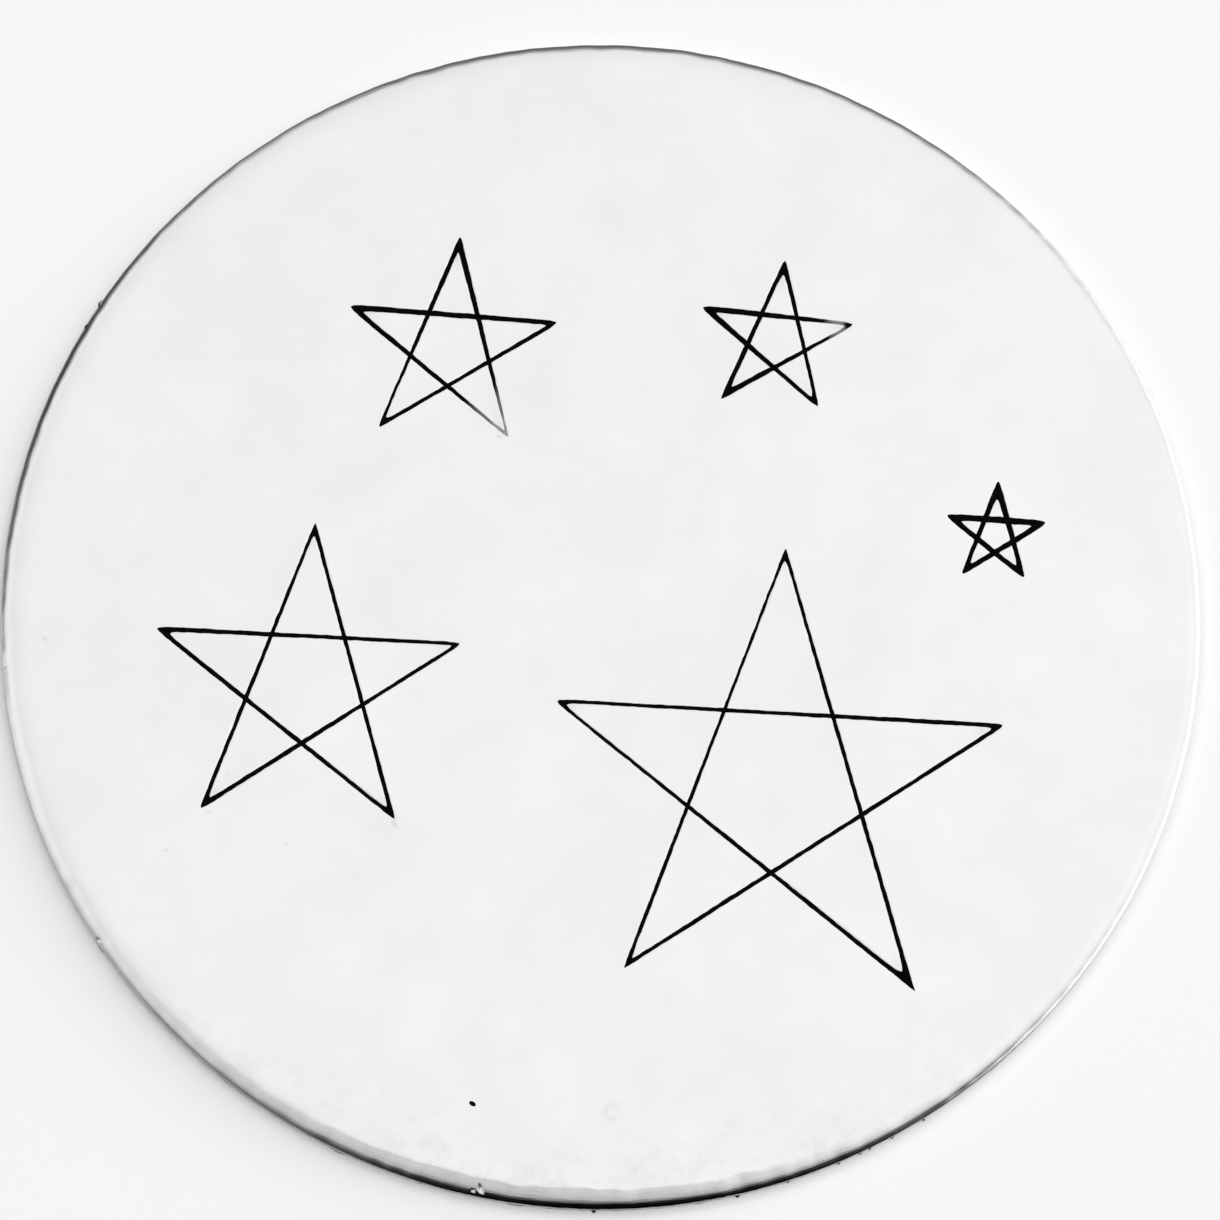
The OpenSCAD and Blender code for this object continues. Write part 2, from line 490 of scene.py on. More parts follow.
def hex_grid(radius, step):
    """Points of a triangular grid inside a circle."""
    tall = step * math.sqrt(3) / 2
    rows = int(radius / tall) + 1
    grid = [
        (step * (i + 0.5 * (j % 2)), tall * j)
        for j in range(-rows, rows + 1)
        for i in range(-int(radius / step) - 1, int(radius / step) + 2)
    ]
    grid = np.array(grid)
    return grid[np.hypot(*grid.T) < radius]


# ---------------------------------------------------------------------------------------------
# The blank
# ---------------------------------------------------------------------------------------------

# Knocks on the rolled edge, as (angle in degrees, half width, half length up the edge, slant as
# the shift sideways for each unit up, lean of the edge where it lies in degrees, depth)
KNOCKS = (
    (-98.3, 0.085, 0.2, -0.3, 42, 0.11),
    (-99.0, 0.075, 0.075, 0.0, 57, 0.08),
    (-142.6, 0.08, 0.12, 0.4, 60, 0.035),
    (151.0, 0.13, 0.16, 0.2, 70, -0.07),
    (153.7, 0.1, 0.1, 0.0, 70, -0.03),
    (37.0, 0.1, 0.07, 0.0, 45, 0.012),
    (101.0, 0.07, 0.05, 0.0, 50, 0.012),
    (-171.0, 0.06, 0.06, 0.0, 50, 0.012),
)
# Burrs that stand out of the foot, coloured black, as (angle in degrees, half width, reach)
BURRS = (
    (-87.6, 0.07, 0.09),
    (-74.1, 0.08, 0.08),
    (-69.2, 0.05, 0.04),
    (-64.1, 0.05, 0.05),
    (-61.9, 0.06, 0.05),
    (-60.9, 0.05, 0.05),
    (-58.5, 0.06, 0.05),
    (-55.1, 0.05, 0.05),
)


def rim_angles():
    """Where the edge has points: evenly round it, and closer together at knocks and burrs."""
    total = RIM_STEPS * RIM_FINE
    places = set(range(0, total, RIM_FINE))
    for degrees, half in [mark[:2] for mark in KNOCKS + BURRS]:
        middle = round(degrees / 360 * total)
        wide = math.ceil(2 * half / DISC_R / (2 * math.pi) * total)
        places |= {i % total for i in range(middle - wide, middle + wide + 1)}
    return 2 * math.pi * np.array(sorted(places)) / total


RIM = rim_angles()
AROUND = np.column_stack([np.cos(RIM), np.sin(RIM)])


def along_rim(degrees):
    """How far each point of the edge is from an angle, in millimetres."""
    return np.radians((np.degrees(RIM) - degrees + 180) % 360 - 180) * DISC_R


def beside_lines():
    """Rows of points on the face along both sides of every struck edge."""
    found = []
    for star in STARS:
        for outer, inner, floor in star.stretches:
            for edge in (outer, inner):
                out = edge[1:-1] - floor[1:-1]
                run = edge[2:] - edge[:-2]
                normal = np.column_stack([-run[:, 1], run[:, 0]])
                normal /= np.linalg.norm(normal, axis=1)[:, None]
                normal *= np.sign((normal * out).sum(1))[:, None]
                for i, away in enumerate(LIP_BESIDE):
                    step = 1 if i < 3 else i - 1
                    row = (edge[1:-1] + normal * away)[:: step]
                    found.append(row[distance_to_lines(row) > 0.75 * away])
    return np.concatenate(found)


def round_dents():
    """Rings of points on the face in and round each dent, each smudge and the pit."""
    rings = []
    for x, y, radius, _ in DENTS:
        for share in (0, 0.35, 0.7, 1.0, 1.4, 1.9):
            rings.append(ring_points(radius * share, 14 if share else 1) + (x, y))
    for x, y, half_long, _, _, _ in SMUDGES:
        for share in (0, 0.4, 0.8, 1.2, 1.6, 2.0):
            rings.append(ring_points(half_long * share, 12 if share else 1, share) + (x, y))
    for share in (0, 0.4, 0.7, 0.85, 0.95, 1.0, 1.08, 1.25, 1.6, 2.2):
        rings.append(PIT.ring(share, 28 if share else 1))
    return np.concatenate(rings)


def thin_out(points, keep_from, apart):
    """Those of points that are at least apart from every point of keep_from."""
    cells = {}
    for p in keep_from:
        cells.setdefault((int(p[0] // apart), int(p[1] // apart)), []).append(p)
    kept = []
    for p in points:
        i, j = int(p[0] // apart), int(p[1] // apart)
        near = [q for a in (-1, 0, 1) for b in (-1, 0, 1) for q in cells.get((i + a, j + b), ())]
        if all((q[0] - p[0]) ** 2 + (q[1] - p[1]) ** 2 > apart**2 for q in near):
            kept.append(p)
    return np.array(kept)


def add_face(shell):
    """The flat top, with the struck stars cut out of it."""
    fixed, edges, index = [], [], {}

    def place(p):
        key = (round(float(p[0]), 6), round(float(p[1]), 6))
        if key not in index:
            index[key] = len(fixed)
            fixed.append(p)
        return index[key]

    ring = [place(p) for p in AROUND * FACE_EDGE_R]
    edges += list(zip(ring, ring[1:] + ring[:1]))
    for star in STARS:
        for outer, inner, _ in star.stretches:
            for edge in (outer, inner):
                line = [place(p) for p in edge]
                edges += list(zip(line, line[1:]))
    free = [beside_lines(), round_dents()]
    for back, share in ((0.07, 2), (0.2, 4), (0.45, 8)):
        free.append(ring_points(FACE_EDGE_R - back, RIM_STEPS // share, 0.25))
    close = np.concatenate(free)
    close = close[distance_to_lines(close) > 0.01]
    grid = hex_grid(FACE_EDGE_R - 0.7, 0.42)
    grid = thin_out(grid[distance_to_lines(grid) > 0.33], close, 0.2)
    points = np.concatenate([np.array(fixed), close, grid])
    flat, triangles, patch = triangulate(points, edges)
    struck = [patch[triangle_at(flat, triangles, star.corner(0, "cross_floor")[0])] for star in STARS]
    kept = triangles[~np.isin(patch, struck)]
    # The constrained points come back first, in their own order, so they keep their exact place
    flat[: len(fixed)] = fixed
    shell.add(on_face(flat), kept.tolist())


def add_struck_walls(shell):
    """Both walls of every struck line."""
    for star in STARS:
        for outer, inner, floor in star.stretches:
            bottom = np.column_stack([floor, FACE_Z - star.depth(floor)])
            for edge in (outer, inner):
                top = on_face(edge)
                shell.grid([top + (bottom - top) * level for level in WALL_LEVELS])


def rim_noise(waves_round, seed, z=0.0):
    """Noise round the edge, about -1 to 1, that closes on itself."""
    radius = waves_round / (2 * math.pi)
    return np.array([2 * noise.noise(Vector((radius * x, radius * y, seed * 3.7 + z))) for x, y in AROUND])


def knocked_in(lean):
    """How far knocks push in the rolled edge where it leans this far from level."""
    total = np.zeros(len(RIM))
    for degrees, half, length, slant, height, depth in KNOCKS:
        up = (math.radians(height) - lean) * 0.5
        away = np.hypot((along_rim(degrees) - slant * up) / half, up / length)
        total += depth * np.clip(1 - away, 0, 1) ** 0.8
    return total


def burr_reach():
    """How far burrs stand out of the foot."""
    total = np.zeros(len(RIM))
    for degrees, half, reach in BURRS:
        total += reach * np.clip(1 - (along_rim(degrees) / half) ** 2, 0, 1)
    return total


def edge_row(r, z):
    """A row of points round the edge. r and z are one value each, or one for each point."""
    r, z = np.broadcast_to(r, len(RIM)), np.broadcast_to(z, len(RIM))
    return np.column_stack([AROUND * r[:, None], z])


def roll_rows():
    """The outside of the face, which droops, and the rolled edge."""
    angles, *shape = np.array(EDGE).T
    width, bevel, droop = (np.interp(np.degrees(RIM), angles, values, period=360) for values in shape)
    width = width * (1 + 0.05 * rim_noise(60, 1) + 0.07 * rim_noise(210, 9))
    bevel = np.clip(bevel + 0.04 * rim_noise(110, 10), 0, 1)
    height = (0.95 + 0.25 * bevel) * width
    power = 2 + 3.2 * bevel  # 2 is round, and more is squarer
    start = DISC_R - width
    rows = [on_face(AROUND * FACE_EDGE_R)]
    for share in (0.3, 0.6, 0.8, 1.0):
        r = FACE_EDGE_R + (start - FACE_EDGE_R) * share
        level = on_face(AROUND * r[:, None])[:, 2] - droop * np.clip(r - DROOP_R, 0, 1) ** 2
        rows.append(edge_row(r, level))
    for share in ROLL_ROWS:
        lean = math.asin(share)
        drop = bevel * share + (1 - bevel) * (1 - (1 - share**power) ** (1 / power))
        r = start + (width - CUT_IN) * share
        z = level - height * drop - droop * ((r - DROOP_R) ** 2 - (start - DROOP_R) ** 2)
        dent = knocked_in(lean)
        rows.append(edge_row(r - dent * math.sin(lean), z - dent * math.cos(lean)))
    return rows


def cut_rows(top, tear):
    """The burnished band, scored by the die, from a height down to the tear."""
    scored = 0.003 * (1 - rim_noise(700, 2))
    return [
        edge_row(DISC_R - CUT_IN - scored * min(1, 2 * share), top + (tear - top) * share)
        for share in (0.35, 0.7, 1.0)
    ]


def torn_rows(tear):
    """The torn band, rough and leaning in from the tear, and the foot with its burrs."""
    burr = burr_reach()
    step, foot = DISC_R - 0.01, DISC_R - TEAR_IN + 0.008
    rows = []
    for share in (0.08, 0.25, 0.45, 0.65, 0.82, 0.93):
        rough = 0.012 * rim_noise(500, 5, 2.2 * share) + 0.008 * rim_noise(1300, 6, 5 * share)
        r = step + (foot - step) * share + rough + burr * max(0, 4 * share - 3)
        rows.append(edge_row(r, tear * (1 - share) + 0.012))
    low_burr = np.clip(rim_noise(160, 7) - 0.45, 0, 1) * 0.06
    rows.append(edge_row(foot + low_burr + 0.9 * burr - 0.01 + 0.006 * rim_noise(900, 8), 0.01))
    rows.append(edge_row(foot - 0.02, 0.0))
    return rows


def rim_rows():
    """The edge from the face down to the underside, as rows of points round the disc."""
    roll = roll_rows()
    tear = TEAR_H + 0.03 * rim_noise(130, 3) + 0.015 * rim_noise(420, 4)
    return roll + cut_rows(roll[-1][:, 2], tear) + torn_rows(tear)


def add_underside(shell, ring):
    """The flat underside, inside the rim's last row."""
    edge = ring[:, :2]
    radius = np.hypot(*edge.T).min()
    inner = [
        ring_points(radius - back, RIM_STEPS // share, 0.25)
        for back, share in ((0.1, 3), (0.35, 9))
    ]
    grid = hex_grid(radius - 0.8, 0.8)
    points = np.concatenate([edge, *inner, grid])
    count = len(edge)
    edges = [(i, (i + 1) % count) for i in range(count)]
    flat, triangles, _ = triangulate(points, edges)
    flat[:count] = edge
    shell.add(np.column_stack([flat, np.zeros(len(flat))]), triangles.tolist())


def make_blank(material):
    shell = Shell()
    add_face(shell)
    add_struck_walls(shell)
    rows = rim_rows()
    shell.grid(rows, closed=True)
    add_underside(shell, rows[-1])
    piece = shell.build("struck_blank", material)
    points = mesh_points(piece)
    x, y, z = points.T
    inside = DISC_R - np.hypot(x, y)
    set_attribute(piece, "torn", np.clip((TEAR_H + 0.07 - z) / 0.06, 0, 1) * (inside < TORN_IN))
    on_burr = np.interp(np.arctan2(y, x), RIM, burr_reach(), period=2 * math.pi) / 0.02
    # Black on the burrs; half black on the lowest rows along the foot, which is painted contact shade
    # where the disc meets the floor
    black_burrs_and_foot_shade = np.clip(on_burr, 0, 1) * (z < 0.12) + 0.5 * (z < 0.012)
    set_attribute(piece, "black_burrs_and_foot_shade", np.clip(black_burrs_and_foot_shade, 0, 1) * (inside < DARKENED_IN))
    set_attribute(piece, "haze", haze(points))
    return piece


# Enamel left as a grey film inside the tips, as {node: strength at tips 0 to 4}
HAZE = {
    "largest_star_enamel": (0.25, 0.45, 0.3, 0.25, 0.35),
    "large_star_enamel": (0.25, 0.3, 0.3, 0.4, 0.25),
    "middle_star_enamel": (0.45, 0.25, 0.25, 0.2, 0.4),
    "small_star_enamel": (0.4, 0.35, 0.25, 0.3, 0.45),
    "smallest_star_enamel": (0.25, 0.25, 0.2, 0.2, 0.25),
}


def soft_patch(points, centre, along, half_long, half_wide):
    """A soft oval patch, 1 at its centre. along is the unit vector along its length."""
    away = points[:, :2] - centre
    long_way, across = away @ along, away @ np.array([-along[1], along[0]])
    return np.exp(-((long_way / half_long) ** 2) - (across / half_wide) ** 2)


def haze(points):
    """How much enamel is left as a film at each point."""
    total = np.zeros(len(points))
    for star in STARS:
        for k, strength in enumerate(HAZE[star.node]):
            inwards = star.centre - star.tip(k)
            inwards = inwards / np.linalg.norm(inwards)
            centre = sum(star.corner(k, "web")[:2]) + inwards * 0.05
            total += strength * soft_patch(points, centre, inwards, 0.3, 0.12)
    for x, y, half_long, half_wide, turn, strength in SMUDGES:
        along = np.array([math.cos(math.radians(turn)), math.sin(math.radians(turn))])
        total += strength * soft_patch(points, (x, y), along, half_long, half_wide)
    x, y, radius, _ = DENTS[0]
    away = points[:, :2] - (x, y)
    ring = np.exp(-(((np.hypot(*away.T) - 0.8 * radius) / 0.07) ** 2))
    total += 0.3 * ring * (away[:, 0] < 0.6 * radius)
    return np.clip(total, 0, 1) * (points[:, 2] > FACE_Z - 0.06)


# ---------------------------------------------------------------------------------------------
# Enamel
# ---------------------------------------------------------------------------------------------

# Where the enamel was wiped thin, as {node: (tip, distance from the tip to where it begins,
# distance to where it ends, share of the depth wiped out, how grey what is left is)}
WIPED = {
    "middle_star_enamel": (2, -0.5, 1.5, 0.25, 0.7),
    "small_star_enamel": (1, 0.2, 0.8, 0.3, 0.6),
}


def wiped(star, p):
    """The share of the depth wiped out at points p, and how grey what is left is."""
    if star.node not in WIPED:
        return np.zeros((2, len(p)))
    k, start, end, share, grey = WIPED[star.node]
    away = np.hypot(*(p - star.tip(k)).T)
    amount = np.clip((away - start) / 0.1, 0, 1) * np.clip(1.6 * (end - away) / (end - start), 0, 1)
    amount = amount * (1 + 0.3 * along_noise(away, k, 0.22))
    return np.outer((share, grey), amount)


def enamel_level(star, p):
    """How far below the face the enamel's edge lies at points p along a line."""
    depth = star.depth(p)
    return np.minimum(ENAMEL_DROP + wiped(star, p)[0] * depth, 0.9 * depth)


def make_star_enamel(star, material):
    """One star's enamel: a hollow-topped fill whose sides follow the struck walls."""
    shell = Shell()
    tops = []
    columns = np.linspace(0, 1, ENAMEL_COLUMNS + 1)
    bow = 4 * columns * (1 - columns)
    for outer, inner, floor in star.stretches:
        bottom = np.column_stack([floor, FACE_Z - star.depth(floor)])
        level = enamel_level(star, floor)
        sides = []
        for edge in (outer, inner):
            top = on_face(edge)
            share = (top[:, 2] - (FACE_Z - level)) / (top[:, 2] - bottom[:, 2])
            side = top + (bottom - top) * share[:, None]
            sides.append(side)
            shell.grid([side, bottom])
        a, b = sides
        rows = a[:, None] + (b - a)[:, None] * columns[None, :, None]
        sag = np.minimum(ENAMEL_SAG, 0.4 * (star.depth(floor) - level))
        rows[:, :, 2] -= sag[:, None] * bow
        tops.append(rows)
        shell.grid(rows)
    for k in range(5):
        add_crossing(shell, tops, k)
    piece = shell.build(star.node.replace("enamel", "fill"), material)
    set_attribute(piece, "worn", wiped(star, mesh_points(piece)[:, :2])[1])
    return piece


def add_crossing(shell, tops, k):
    """The enamel's top where line k crosses line k - 1, between the ends of four stretches. A
    line has three stretches, and each end runs from the line's outer edge to its inner one."""
    into, out = tops[3 * k][-1], tops[3 * k + 1][0]
    other = (3 * (k - 1)) % 15
    before, after = tops[other + 1][-1], tops[other + 2][0]
    share = np.linspace(0, 1, ENAMEL_COLUMNS + 1)
    s, t = share[:, None, None], share[None, :, None]
    across = into[None, :] * (1 - s) + out[None, :] * s
    down = after[:, None] * (1 - t) + before[:, None] * t
    corners = (into[0] * (1 - t) + into[-1] * t) * (1 - s) + (out[0] * (1 - t) + out[-1] * t) * s
    shell.grid(across + down - corners)


def make_drop(material):
    """The stray drop, lying in its pit."""
    shell = Shell()
    steps = 28
    ragged = 1 + 0.06 * along_noise(np.arange(steps), 3, 2.3)
    top = ((0.0, -0.015), (0.5, -0.0154), (0.85, -0.014), (0.97, -0.0116))
    under = ((0.9, -0.6 * PIT.depth), (0.5, -0.98 * PIT.depth), (0.0, -PIT.depth))
    rows = [
        np.column_stack([PIT.ring(ragged * share, steps), np.full(steps, FACE_Z + z)])
        for share, z in top + under
    ]
    shell.grid(rows, closed=True)
    return shell.build("stray_drop", material)


# ---------------------------------------------------------------------------------------------
# Materials
# ---------------------------------------------------------------------------------------------


class Graph:
    """Short ways to add and join the nodes of one node tree."""

    def __init__(self, tree):
        self.tree = tree
        tree.nodes.clear()

    def add(self, kind, inputs=None, **settings):
        node = self.tree.nodes.new(kind)
        for name, value in settings.items():
            setattr(node, name, value)
        for name, value in (inputs or {}).items():
            if isinstance(value, bpy.types.NodeSocket):
                self.tree.links.new(value, node.inputs[name])
            else:
                node.inputs[name].default_value = value
        return node

    def math(self, operation, a, b=0.0, clamp=False):
        return self.add("ShaderNodeMath", {0: a, 1: b}, operation=operation, use_clamp=clamp).outputs[0]

    def vector(self, operation, a, b=(0, 0, 0)):
        return self.add("ShaderNodeVectorMath", {0: a, 1: b}, operation=operation).outputs[0]

    def remap(self, value, low, high, to_low=0.0, to_high=1.0, smooth=False):
        kind = "SMOOTHSTEP" if smooth else "LINEAR"
        inputs = {"Value": value, "From Min": low, "From Max": high, "To Min": to_low, "To Max": to_high}
        return self.add("ShaderNodeMapRange", inputs, interpolation_type=kind).outputs[0]

    def mix(self, share, a, b):
        node = self.add("ShaderNodeMix", data_type="RGBA")
        for socket, value in ((0, share), (6, a), (7, b)):
            if isinstance(value, bpy.types.NodeSocket):
                self.tree.links.new(value, node.inputs[socket])
            else:
                node.inputs[socket].default_value = value
        return node.outputs[2]

    def millimetres(self):
        """Object coordinates in millimetres."""
        return self.vector("MULTIPLY", self.add("ShaderNodeTexCoord").outputs["Object"], (1 / MM,) * 3)

    def noise(self, where, scale, detail=2.0, rough=0.5):
        inputs = {"Vector": where, "Scale": scale, "Detail": detail, "Roughness": rough}
        return self.add("ShaderNodeTexNoise", inputs).outputs["Fac"]

    def attribute(self, name):
        return self.add("ShaderNodeAttribute", attribute_name=name).outputs["Fac"]


def new_material(name):
    material = bpy.data.materials.new(name)
    material.use_nodes = True
    return material, Graph(material.node_tree)


# Colours
METAL_PALE, METAL_DULL = (0.915, 0.915, 0.92, 1), (0.885, 0.887, 0.89, 1)
METAL_TORN = (0.84, 0.84, 0.85, 1)
FILM_GREY, BURR_AND_FOOT_SHADE_BLACK = (0.25, 0.25, 0.26, 1), (0.02, 0.02, 0.02, 1)
ENAMEL_BLACK, ENAMEL_DUSTY = (0.0006, 0.0006, 0.0007, 1), (0.0025, 0.0025, 0.003, 1)
ENAMEL_WORN = (0.4, 0.4, 0.41, 1)
PAPER_WHITE = (0.9, 0.9, 0.9, 1)

# Fine scratches as (heading in degrees, how many to a millimetre, noise above which one shows)
HAIRLINES = ((18, 9, 0.62), (74, 11, 0.64), (131, 8, 0.63), (-40, 13, 0.66))


def hairlines(g, where):
    """Fine scratches: noise drawn out along a few directions, with only its peaks kept."""
    marks = 0.0
    for turn, scale, low in HAIRLINES:
        stretch = (scale * 0.03, scale, scale)
        inputs = {"Vector": where, "Rotation": (0, 0, math.radians(turn)), "Scale": stretch}
        drawn = g.add("ShaderNodeMapping", inputs).outputs[0]
        marks = g.math("MAXIMUM", marks, g.remap(g.noise(drawn, 1.0, 1.0), low, low + 0.1))
    return marks


def marks_round(g, where, along, across):
    """Noise drawn out round the disc, with its scales round the edge and down it, and how far
    from the disc's axis a point is."""
    flat = g.vector("MULTIPLY", where, (1, 1, 0))
    radius = g.add("ShaderNodeVectorMath", {0: flat}, operation="LENGTH").outputs["Value"]
    out = g.vector("MULTIPLY", g.vector("NORMALIZE", flat), (DISC_R * along,) * 3)
    height = g.add("ShaderNodeSeparateXYZ", {"Vector": where}).outputs["Z"]
    down = g.math("MULTIPLY", g.math("SUBTRACT", radius, height), across)
    place = g.vector("ADD", out, g.add("ShaderNodeCombineXYZ", {"Z": down}).outputs[0])
    return g.noise(place, 1.0, 3.0, 0.6), radius


def aluminium():
    """Soft sheet aluminium, tumbled to a satin: fine grain, hairline scratches in all
    directions, blotches of slightly duller metal, a scored cut band, a torn foot with black burrs,
    and painted contact shade along the foot."""
    material, g = new_material("tumbled_aluminium")
    where = g.millimetres()
    torn, black_burrs_and_foot_shade, film = g.attribute("torn"), g.attribute("black_burrs_and_foot_shade"), g.attribute("haze")
    grain = g.noise(where, 14.0, 3.0, 0.6)
    peel = g.noise(where, 2.6, 2.0)
    blotch = g.noise(where, 0.45, 3.0, 0.55)
    scratch = hairlines(g, where)
    streak, radius = marks_round(g, where, 0.9, 11.0)
    on_roll = g.remap(radius, DISC_R - 0.65, DISC_R - 0.35)
    front = g.remap(g.add("ShaderNodeSeparateXYZ", {"Vector": where}).outputs["Y"], -9.0, -15.0)
    # The film that handling left, towards the front of the rim
    handled = g.remap(g.noise(where, 2.3, 5.0, 0.65), 0.46, 0.72)
    handled = g.math("MULTIPLY", handled, g.remap(radius, 13.2, 15.6))
    film = g.math("ADD", film, g.math("MULTIPLY", g.math("MULTIPLY", handled, front), 0.35), clamp=True)
    patchy_film = g.math("MULTIPLY", film, g.remap(g.noise(where, 7.0, 3.0), 0.2, 0.55))
    colour = g.mix(g.remap(blotch, 0.35, 0.65), METAL_PALE, METAL_DULL)
    colour = g.mix(torn, colour, METAL_TORN)
    colour = g.mix(g.math("MULTIPLY", patchy_film, 0.5), colour, FILM_GREY)
    # Black burrs, and painted contact shade along the foot
    colour = g.mix(black_burrs_and_foot_shade, colour, BURR_AND_FOOT_SHADE_BLACK)
    metallic = g.math("SUBTRACT", 1.0, g.math("MULTIPLY", torn, 0.75))
    rough = g.remap(blotch, 0.3, 0.7, 0.27, 0.32)
    rough = g.math("ADD", rough, g.math("MULTIPLY", grain, 0.04))
    rough = g.math("ADD", rough, g.math("MULTIPLY", scratch, 0.02))
    rough = g.math("ADD", rough, g.math("MULTIPLY", torn, 0.4))
    # The burnished band reaches a little further in at the front
    reach = g.math("ADD", radius, g.math("MULTIPLY", front, 0.08))
    burnished = g.remap(reach, DISC_R - 0.1, DISC_R - 0.02)
    rough = g.math("SUBTRACT", rough, g.math("MULTIPLY", burnished, 0.12))
    height = g.math("MULTIPLY", grain, g.math("ADD", g.math("MULTIPLY", torn, 5.0), 0.9))
    height = g.math("ADD", height, g.math("MULTIPLY", peel, 1.0))
    height = g.math("SUBTRACT", height, g.math("MULTIPLY", scratch, 0.15))
    height = g.math("ADD", height, g.math("MULTIPLY", g.math("MULTIPLY", streak, on_roll), 12.0))
    bump = g.add("ShaderNodeBump", {"Strength": 0.6, "Distance": 0.001 * MM, "Height": height})
    shader = g.add("ShaderNodeBsdfPrincipled", {
        "Base Color": colour, "Metallic": metallic, "Roughness": rough, "Normal": bump.outputs[0],
    })
    g.add("ShaderNodeOutputMaterial", {"Surface": shader.outputs[0]})
    return material


def enamel():
    """Black enamel, rubbed in and wiped off: dark, half glossy, and dusty in places."""
    material, g = new_material("black_enamel")
    where = g.millimetres()
    dust = g.noise(where, 5.0, 3.0)
    colour = g.mix(g.remap(dust, 0.45, 0.75), ENAMEL_BLACK, ENAMEL_DUSTY)
    colour = g.mix(g.attribute("worn"), colour, ENAMEL_WORN)
    rough = g.remap(g.noise(where, 11.0, 2.0), 0.3, 0.7, 0.34, 0.5)
    height = g.noise(where, 22.0, 3.0)
    bump = g.add("ShaderNodeBump", {"Strength": 0.5, "Distance": 0.002 * MM, "Height": height})
    shader = g.add("ShaderNodeBsdfPrincipled", {
        "Base Color": colour, "Roughness": rough, "Specular IOR Level": 0.02, "Normal": bump.outputs[0],
    })
    g.add("ShaderNodeOutputMaterial", {"Surface": shader.outputs[0]})
    return material


def paper():
    """Plain white floor."""
    material, g = new_material("white_floor")
    shader = g.add("ShaderNodeBsdfDiffuse", {"Color": PAPER_WHITE})
    g.add("ShaderNodeOutputMaterial", {"Surface": shader.outputs[0]})
    return material


# ---------------------------------------------------------------------------------------------
# Stage, light and camera
# ---------------------------------------------------------------------------------------------

CAMERA_AZIMUTH, CAMERA_ELEVATION, CAMERA_ROLL = -0.2, 75.8, 3.32
CAMERA_AWAY = 133.3
CAMERA_LOOKS_AT = (0.24, -0.015, 0.65)
CAMERA_LENS = 147.5

FLOOR_SIZE = 4.0  # metres


def heading(azimuth, elevation):
    """Unit vector; azimuth is measured from +X towards +Y."""
    a, e = math.radians(azimuth), math.radians(elevation)
    return Vector((math.cos(a) * math.cos(e), math.sin(a) * math.cos(e), math.sin(e)))


def make_floor():
    mesh = bpy.data.meshes.new("floor")
    half = FLOOR_SIZE / 2
    corners = [(-half, -half, 0), (half, -half, 0), (half, half, 0), (-half, half, 0)]
    mesh.from_pydata(corners, [], [(0, 1, 2, 3)])
    mesh.materials.append(paper())
    floor = bpy.data.objects.new("floor", mesh)
    bpy.context.scene.collection.objects.link(floor)
    floor.visible_glossy = False


# How bright the world is to the camera and to diffuse light
CAMERA_SEES, DIFFUSE_SEES = 0.96, 0.115
# What the metal sees of the room. SKY and GROUND are (sine of the elevation, brightness), and
# the brightness goes smoothly from one to the other.
SKY, GROUND = (0.38, 0.83), (-0.09, 0.12)
# Patches laid over that, in order, as (azimuth, elevation, degrees from the middle to where it
# starts to fade, degrees to where it is gone, brightness)
ROOM = (
    (90, 80, 12, 22, 0.97),     # ceiling
    (12, 41, 5, 89, 1.0),       # bright side
    (0, 62, 10, 45, 1.08),      # its upper end
    (-105, 16, 36, 62, 0.64),   # behind the camera
    (-88, -18, 10, 54, 0.0),    # shade under it
    (-90, -70, 18, 34, 0.0),
    (-175, -56, 12, 30, 0.44),
    (166, 3, 0, 64, 1.02),      # second window
    (149, -17, 17, 29, 0.0),
    (13, -31, 32, 46, 1.2),     # window
)


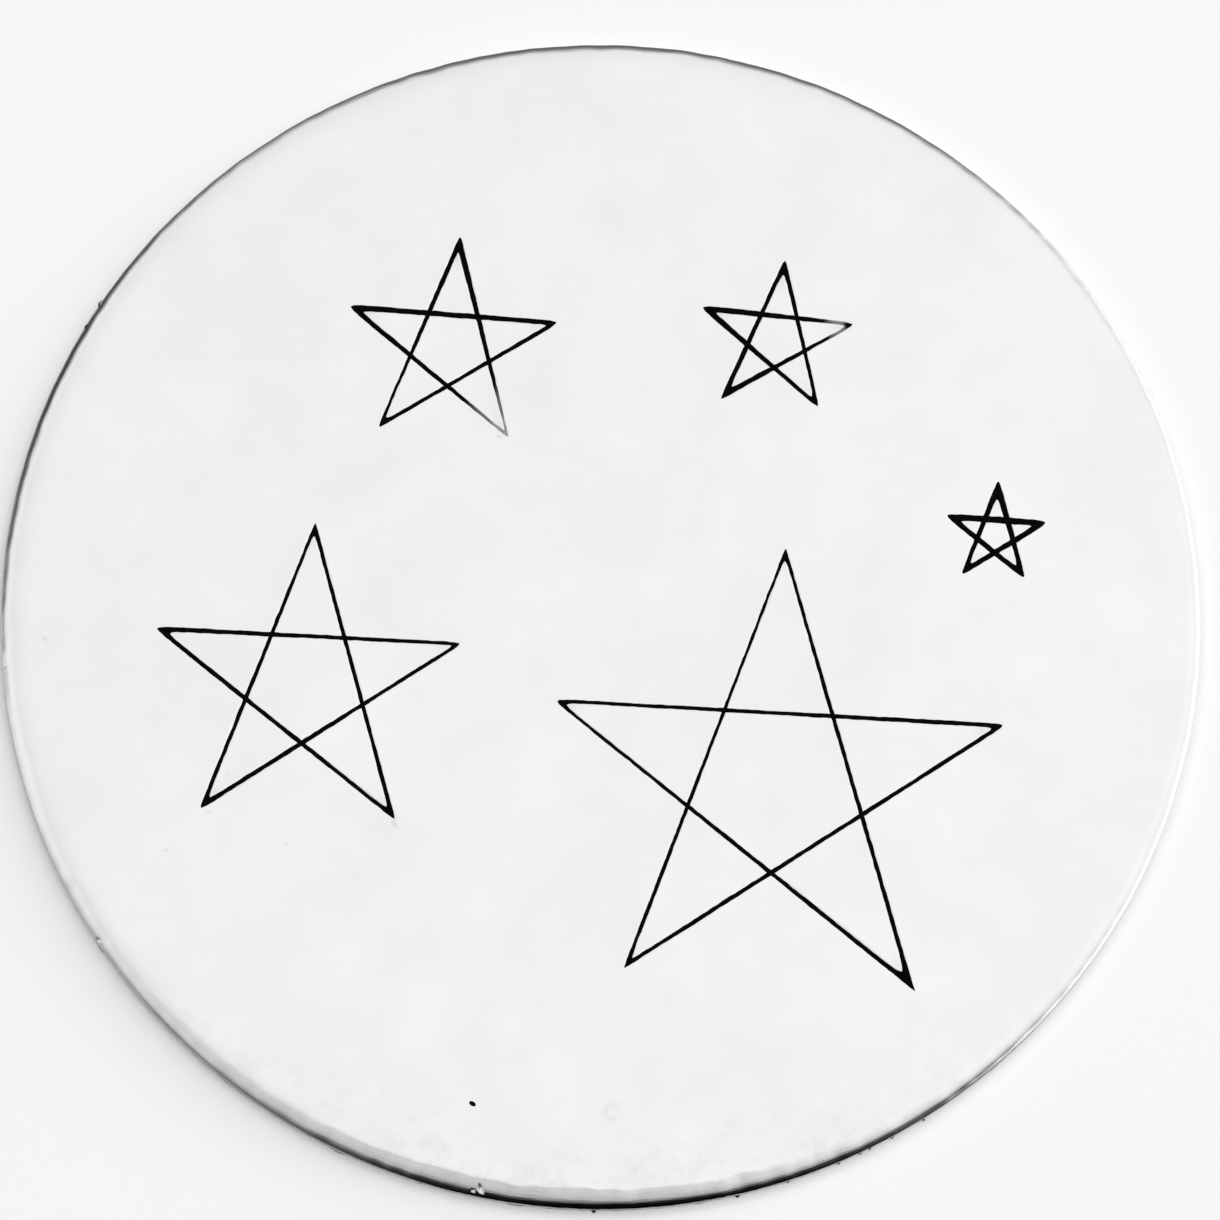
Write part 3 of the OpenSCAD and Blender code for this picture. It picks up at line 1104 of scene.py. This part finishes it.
def make_room():
    """The world: plain pale for the camera, even for diffuse light, and for the metal a bright
    sky over a dim horizon with a bright side and dark sides."""
    world = bpy.data.worlds.new("room")
    bpy.context.scene.world = world
    world.use_nodes = True
    g = Graph(world.node_tree)
    direction = g.add("ShaderNodeTexCoord").outputs["Generated"]
    high = g.add("ShaderNodeSeparateXYZ", {"Vector": direction}).outputs["Z"]
    seen = g.remap(high, GROUND[0], SKY[0], GROUND[1], SKY[1], smooth=True)
    for azimuth, elevation, start, gone, bright in ROOM:
        towards = {0: direction, 1: tuple(heading(azimuth, elevation))}
        dot = g.add("ShaderNodeVectorMath", towards, operation="DOT_PRODUCT").outputs["Value"]
        cosines = [math.cos(math.radians(angle)) for angle in (gone, start)]
        share = g.remap(dot, *cosines, smooth=True)
        under = g.math("MULTIPLY", seen, g.math("SUBTRACT", 1.0, share))
        seen = g.math("ADD", under, g.math("MULTIPLY", share, bright))
    path = g.add("ShaderNodeLightPath")
    direct = g.math("SUBTRACT", path.outputs["Is Glossy Ray"], path.outputs["Diffuse Depth"], clamp=True)
    plain, even, glossy = (
        g.add("ShaderNodeBackground", {"Color": (1, 1, 1, 1), "Strength": strength}).outputs[0]
        for strength in (CAMERA_SEES, DIFFUSE_SEES, seen)
    )
    other = g.add("ShaderNodeMixShader", {0: direct, 1: even, 2: glossy}).outputs[0]
    final = g.add("ShaderNodeMixShader", {0: path.outputs["Is Camera Ray"], 1: other, 2: plain})
    g.add("ShaderNodeOutputWorld", {"Surface": final.outputs[0]})


def make_light(name, azimuth, elevation, away, size, power):
    lamp = bpy.data.lights.new(name, "AREA")
    lamp.shape = "SQUARE"
    lamp.size = size
    lamp.energy = power
    light = bpy.data.objects.new(name, lamp)
    bpy.context.scene.collection.objects.link(light)
    light.location = heading(azimuth, elevation) * away
    light.rotation_euler = heading(azimuth, elevation).to_track_quat("Z", "Y").to_euler()
    light.visible_glossy = False


def make_camera():
    lens = bpy.data.cameras.new("camera")
    lens.lens = CAMERA_LENS
    lens.sensor_width = 36
    lens.clip_start, lens.clip_end = 0.005, 10
    camera = bpy.data.objects.new("camera", lens)
    bpy.context.scene.collection.objects.link(camera)
    back = heading(CAMERA_AZIMUTH - 90, CAMERA_ELEVATION)
    turn = back.to_track_quat("Z", "Y").to_matrix().to_4x4()
    roll = Matrix.Rotation(math.radians(CAMERA_ROLL), 4, "Z")
    place = (Vector(CAMERA_LOOKS_AT) + back * CAMERA_AWAY) * MM
    camera.matrix_world = Matrix.Translation(place) @ turn @ roll
    bpy.context.scene.camera = camera


# ---------------------------------------------------------------------------------------------
# Putting it together
# ---------------------------------------------------------------------------------------------


def place_piece(piece, slot, *nodes):
    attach(piece, "root")
    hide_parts(*nodes)


make_camera()
make_room()
make_floor()
make_light("softbox", 0, 90, 0.6, 0.5, 2.84)
make_light("window", 26, 40, 0.6, 0.7, 2.15)

metal, black = aluminium(), enamel()
place_piece(make_blank(metal), "sheet_aluminium", "blank_disc")
for star in STARS:
    place_piece(make_star_enamel(star, black), "black_enamel", star.node)
place_piece(make_drop(black), "black_enamel", "stray_enamel")

bpy.context.scene.view_settings.view_transform = "Standard"
